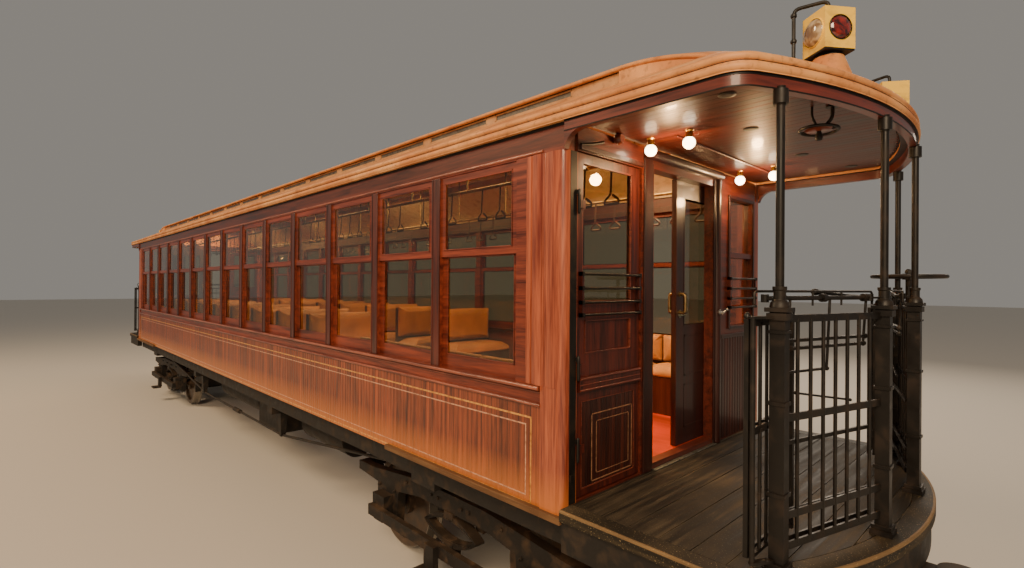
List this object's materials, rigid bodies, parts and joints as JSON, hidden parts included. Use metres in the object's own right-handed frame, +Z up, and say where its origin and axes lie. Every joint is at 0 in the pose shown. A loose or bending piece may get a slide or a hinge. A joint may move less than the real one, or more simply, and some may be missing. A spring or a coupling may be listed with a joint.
{
  "type": "vintage railway carriage",
  "caption": "Vintage wooden railway carriage with open gated end platforms, clerestory roof, sash windows, sliding end doors, hinged cab doors and motor bogies.",
  "frame": {"origin": "middle of the carriage's length and width, on the plane its wheel flanges stand on", "axes": "+X along the carriage to the front end, +Y to its left side, +Z up"},
  "size_m": [15.758, 2.68, 3.9097],
  "materials": {
    "mahogany": "varnished gloss",
    "glass": "clear",
    "canvas": "painted canvas",
    "deck_planks": "worn paint",
    "saloon_floor": "painted gloss",
    "black_iron": "black paint",
    "black_steel": "matt black",
    "wheel_steel": "worn treads",
    "lamp_yellow": "gloss",
    "bulbs": "lit glass bulbs",
    "seat_wood": "varnished",
    "rattan": "woven cane"
  },
  "bodies": {
    "body": {"lower_panel_left": "mahogany", "lower_panel_right": "mahogany", "side_frame_left": "mahogany", "side_frame_right": "mahogany", "window_sashes_left": "mahogany", "window_sashes_right": "mahogany", "corner_pilasters": "mahogany", "bulkhead_front": "mahogany", "bulkhead_rear": "mahogany", "hood_valance_front": "mahogany", "hood_valance_rear": "mahogany", "window_glass_left": "glass", "window_glass_right": "glass", "end_glass": "glass", "lower_roof": "canvas", "upper_roof": "canvas", "clerestory": "canvas", "hood_front": "canvas", "hood_rear": "canvas", "platform_front": "deck_planks", "platform_rear": "deck_planks", "body_floor": "saloon_floor", "gate_posts_front": "black_iron", "gate_posts_rear": "black_iron", "end_railing_front": "black_iron", "end_railing_rear": "black_iron", "gate_levers": "black_iron", "hand_brakes": "black_iron", "underframe": "black_steel", "truss_rods": "black_steel", "underfloor_gear": "black_steel", "drawbar_front": "black_steel", "drawbar_rear": "black_steel", "marker_lamps": "lamp_yellow", "platform_lamps": "bulbs", "seat_frames": "seat_wood", "seat_cushions": "rattan"},
    "bogie_front": {"bogie_frame_front": "black_steel"},
    "wheelset_front_outer": {"wheelset_front_outer": "wheel_steel"},
    "wheelset_front_inner": {"wheelset_front_inner": "wheel_steel"},
    "cab_door_front": {"cab_door_front": "mahogany", "cab_door_glass_front": "glass"},
    "end_door_front": {"end_door_front": "mahogany", "end_door_glass_front": "glass"},
    "gate_front_left_outer": {"gate_front_left_outer": "black_iron"},
    "gate_front_left_inner": {"gate_front_left_inner": "black_iron"},
    "gate_front_right_outer": {"gate_front_right_outer": "black_iron"},
    "gate_front_right_inner": {"gate_front_right_inner": "black_iron"},
    "bogie_rear": {"bogie_frame_rear": "black_steel"},
    "wheelset_rear_outer": {"wheelset_rear_outer": "wheel_steel"},
    "wheelset_rear_inner": {"wheelset_rear_inner": "wheel_steel"},
    "cab_door_rear": {"cab_door_rear": "mahogany", "cab_door_glass_rear": "glass"},
    "end_door_rear": {"end_door_rear": "mahogany", "end_door_glass_rear": "glass"},
    "gate_rear_left_outer": {"gate_rear_left_outer": "black_iron"},
    "gate_rear_left_inner": {"gate_rear_left_inner": "black_iron"},
    "gate_rear_right_outer": {"gate_rear_right_outer": "black_iron"},
    "gate_rear_right_inner": {"gate_rear_right_inner": "black_iron"}
  },
  "joints": [
    {"name": "bogie_front_swivel", "type": "hinge", "parent": "body", "child": "bogie_front", "pos_m": [4.85, 0, 0.885], "axis": [0, 0, 1], "range_deg": [-10, 10]},
    {"name": "wheelset_front_outer_spin", "type": "hinge", "parent": "bogie_front", "child": "wheelset_front_outer", "pos_m": [5.765, 0, 0.448], "axis": [0, 1, 0], "continuous": true},
    {"name": "wheelset_front_inner_spin", "type": "hinge", "parent": "bogie_front", "child": "wheelset_front_inner", "pos_m": [3.935, 0, 0.448], "axis": [0, 1, 0], "continuous": true},
    {"name": "cab_door_front_hinge", "type": "hinge", "parent": "body", "child": "cab_door_front", "pos_m": [6.2924, -1.196, 2.2], "axis": [0, 0, -1], "range_deg": [0, 80]},
    {"name": "end_door_front_slide", "type": "slide", "parent": "body", "child": "end_door_front", "axis": [0, 1, 0], "range_m": [-0.46, 0.31]},
    {"name": "gate_front_left_outer_swing", "type": "hinge", "parent": "body", "child": "gate_front_left_outer", "pos_m": [7.249, 1.24, 1.79], "axis": [0, 0, -1], "range_deg": [0, 90]},
    {"name": "gate_front_left_inner_fold", "type": "hinge", "parent": "gate_front_left_outer", "child": "gate_front_left_inner", "pos_m": [7.233, 0.77, 1.79], "axis": [0, 0, -1], "range_deg": [-180, 0]},
    {"name": "gate_front_right_outer_swing", "type": "hinge", "parent": "body", "child": "gate_front_right_outer", "pos_m": [7.249, -1.24, 1.79], "axis": [0, 0, 1], "range_deg": [0, 90]},
    {"name": "gate_front_right_inner_fold", "type": "hinge", "parent": "gate_front_right_outer", "child": "gate_front_right_inner", "pos_m": [7.233, -0.77, 1.79], "axis": [0, 0, 1], "range_deg": [-180, 0]},
    {"name": "bogie_rear_swivel", "type": "hinge", "parent": "body", "child": "bogie_rear", "pos_m": [-4.85, 0, 0.885], "axis": [0, 0, 1], "range_deg": [-10, 10]},
    {"name": "wheelset_rear_outer_spin", "type": "hinge", "parent": "bogie_rear", "child": "wheelset_rear_outer", "pos_m": [-5.765, 0, 0.448], "axis": [0, 1, 0], "continuous": true},
    {"name": "wheelset_rear_inner_spin", "type": "hinge", "parent": "bogie_rear", "child": "wheelset_rear_inner", "pos_m": [-3.935, 0, 0.448], "axis": [0, 1, 0], "continuous": true},
    {"name": "cab_door_rear_hinge", "type": "hinge", "parent": "body", "child": "cab_door_rear", "pos_m": [-6.2924, 1.196, 2.2], "axis": [0, 0, -1], "range_deg": [0, 80]},
    {"name": "end_door_rear_slide", "type": "slide", "parent": "body", "child": "end_door_rear", "axis": [0, -1, 0], "range_m": [-0.46, 0.31]},
    {"name": "gate_rear_left_outer_swing", "type": "hinge", "parent": "body", "child": "gate_rear_left_outer", "pos_m": [-7.249, 1.24, 1.79], "axis": [0, 0, 1], "range_deg": [0, 90]},
    {"name": "gate_rear_left_inner_fold", "type": "hinge", "parent": "gate_rear_left_outer", "child": "gate_rear_left_inner", "pos_m": [-7.233, 0.77, 1.79], "axis": [0, 0, 1], "range_deg": [-180, 0]},
    {"name": "gate_rear_right_outer_swing", "type": "hinge", "parent": "body", "child": "gate_rear_right_outer", "pos_m": [-7.249, -1.24, 1.79], "axis": [0, 0, -1], "range_deg": [0, 90]},
    {"name": "gate_rear_right_inner_fold", "type": "hinge", "parent": "gate_rear_right_outer", "child": "gate_rear_right_inner", "pos_m": [-7.233, -0.77, 1.79], "axis": [0, 0, -1], "range_deg": [-180, 0]}
  ],
  "couplings": [
    {"joint": "gate_front_left_inner_fold", "follows": "gate_front_left_outer_swing", "ratio": -2},
    {"joint": "gate_front_right_inner_fold", "follows": "gate_front_right_outer_swing", "ratio": -2},
    {"joint": "gate_rear_left_inner_fold", "follows": "gate_rear_left_outer_swing", "ratio": -2},
    {"joint": "gate_rear_right_inner_fold", "follows": "gate_rear_right_outer_swing", "ratio": -2}
  ]
}
